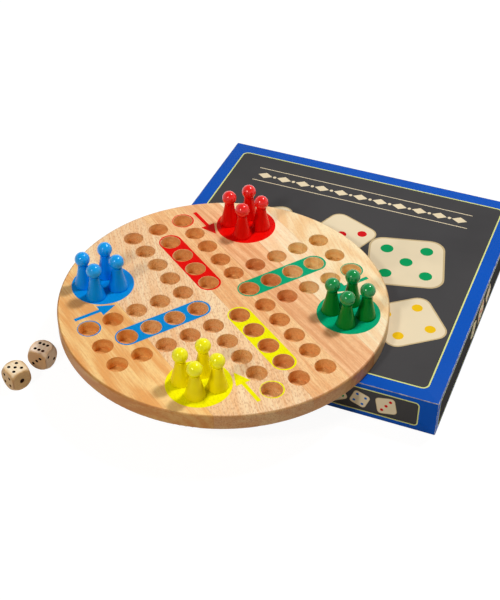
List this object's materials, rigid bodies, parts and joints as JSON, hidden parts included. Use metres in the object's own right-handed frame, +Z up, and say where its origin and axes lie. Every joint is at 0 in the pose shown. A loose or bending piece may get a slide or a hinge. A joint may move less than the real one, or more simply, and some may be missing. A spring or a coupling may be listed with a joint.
{
  "type": "ludo game set with carton",
  "caption": "Round drilled wooden ludo board lying on its square card carton with a lift-off lid, with cone pawns standing on coloured discs and two dice beside it.",
  "frame": {"origin": "centre of the carton's flat underside, on the table", "axes": "+Z up; X and Y along the carton's sides, -Y towards the side that the round board overhangs most"},
  "size_m": [0.3178, 0.3501, 0.0753],
  "materials": {
    "grey_board": "matt unbleached greyboard",
    "lid_paper": "film-laminated printed paper, satin",
    "base_paper": "film-laminated printed paper, satin",
    "board_wood": "sanded hardwood, thin matt varnish",
    "ink_red": "screen-printed ink, satin",
    "ink_green": "screen-printed ink, satin",
    "ink_yellow": "screen-printed ink, satin",
    "ink_blue": "screen-printed ink, satin",
    "lacquer_red": "wood under gloss lacquer",
    "lacquer_green": "wood under gloss lacquer",
    "lacquer_yellow": "wood under gloss lacquer",
    "lacquer_blue": "wood under gloss lacquer",
    "die_wood": "bare sanded maple with painted pips"
  },
  "bodies": {
    "carton_base": {"base_board": "grey_board", "base_wrap": "base_paper"},
    "lid": {"lid_board": "grey_board", "lid_wrap": "lid_paper"},
    "board": {"stave_1": "board_wood", "stave_2": "board_wood", "stave_3": "board_wood", "stave_4": "board_wood", "stave_5": "board_wood", "stave_6": "board_wood", "print_red": "ink_red", "print_green": "ink_green", "print_yellow": "ink_yellow", "print_blue": "ink_blue"},
    "pawn_red_1": {"pawn_red_1": "lacquer_red"},
    "pawn_red_2": {"pawn_red_2": "lacquer_red"},
    "pawn_red_3": {"pawn_red_3": "lacquer_red"},
    "pawn_red_4": {"pawn_red_4": "lacquer_red"},
    "pawn_green_1": {"pawn_green_1": "lacquer_green"},
    "pawn_green_2": {"pawn_green_2": "lacquer_green"},
    "pawn_green_3": {"pawn_green_3": "lacquer_green"},
    "pawn_green_4": {"pawn_green_4": "lacquer_green"},
    "pawn_yellow_1": {"pawn_yellow_1": "lacquer_yellow"},
    "pawn_yellow_2": {"pawn_yellow_2": "lacquer_yellow"},
    "pawn_yellow_3": {"pawn_yellow_3": "lacquer_yellow"},
    "pawn_yellow_4": {"pawn_yellow_4": "lacquer_yellow"},
    "pawn_blue_1": {"pawn_blue_1": "lacquer_blue"},
    "pawn_blue_2": {"pawn_blue_2": "lacquer_blue"},
    "pawn_blue_3": {"pawn_blue_3": "lacquer_blue"},
    "pawn_blue_4": {"pawn_blue_4": "lacquer_blue"},
    "die_1": {"die_1": "die_wood"},
    "die_2": {"die_2": "die_wood"}
  },
  "joints": [
    {"name": "lid_lift", "type": "slide", "parent": "carton_base", "child": "lid", "axis": [0, 0, 1], "range_m": [0, 0.06]},
    {"name": "board_lift", "type": "slide", "parent": "lid", "child": "board", "axis": [0, 0, 1], "range_m": [0, 0.06]},
    {"name": "pawn_red_1_lift", "type": "slide", "parent": "board", "child": "pawn_red_1", "axis": [0, 0, 1], "range_m": [0, 0.045]},
    {"name": "pawn_red_2_lift", "type": "slide", "parent": "board", "child": "pawn_red_2", "axis": [0, 0, 1], "range_m": [0, 0.045]},
    {"name": "pawn_red_3_lift", "type": "slide", "parent": "board", "child": "pawn_red_3", "axis": [0, 0, 1], "range_m": [0, 0.045]},
    {"name": "pawn_red_4_lift", "type": "slide", "parent": "board", "child": "pawn_red_4", "axis": [0, 0, 1], "range_m": [0, 0.045]},
    {"name": "pawn_green_1_lift", "type": "slide", "parent": "board", "child": "pawn_green_1", "axis": [0, 0, 1], "range_m": [0, 0.045]},
    {"name": "pawn_green_2_lift", "type": "slide", "parent": "board", "child": "pawn_green_2", "axis": [0, 0, 1], "range_m": [0, 0.045]},
    {"name": "pawn_green_3_lift", "type": "slide", "parent": "board", "child": "pawn_green_3", "axis": [0, 0, 1], "range_m": [0, 0.045]},
    {"name": "pawn_green_4_lift", "type": "slide", "parent": "board", "child": "pawn_green_4", "axis": [0, 0, 1], "range_m": [0, 0.045]},
    {"name": "pawn_yellow_1_lift", "type": "slide", "parent": "board", "child": "pawn_yellow_1", "axis": [0, 0, 1], "range_m": [0, 0.045]},
    {"name": "pawn_yellow_2_lift", "type": "slide", "parent": "board", "child": "pawn_yellow_2", "axis": [0, 0, 1], "range_m": [0, 0.045]},
    {"name": "pawn_yellow_3_lift", "type": "slide", "parent": "board", "child": "pawn_yellow_3", "axis": [0, 0, 1], "range_m": [0, 0.045]},
    {"name": "pawn_yellow_4_lift", "type": "slide", "parent": "board", "child": "pawn_yellow_4", "axis": [0, 0, 1], "range_m": [0, 0.045]},
    {"name": "pawn_blue_1_lift", "type": "slide", "parent": "board", "child": "pawn_blue_1", "axis": [0, 0, 1], "range_m": [0, 0.045]},
    {"name": "pawn_blue_2_lift", "type": "slide", "parent": "board", "child": "pawn_blue_2", "axis": [0, 0, 1], "range_m": [0, 0.045]},
    {"name": "pawn_blue_3_lift", "type": "slide", "parent": "board", "child": "pawn_blue_3", "axis": [0, 0, 1], "range_m": [0, 0.045]},
    {"name": "pawn_blue_4_lift", "type": "slide", "parent": "board", "child": "pawn_blue_4", "axis": [0, 0, 1], "range_m": [0, 0.045]},
    {"name": "die_1_lift", "type": "slide", "parent": "carton_base", "child": "die_1", "axis": [0, 0, 1], "range_m": [0, 0.04]},
    {"name": "die_2_lift", "type": "slide", "parent": "carton_base", "child": "die_2", "axis": [0, 0, 1], "range_m": [0, 0.04]}
  ]
}
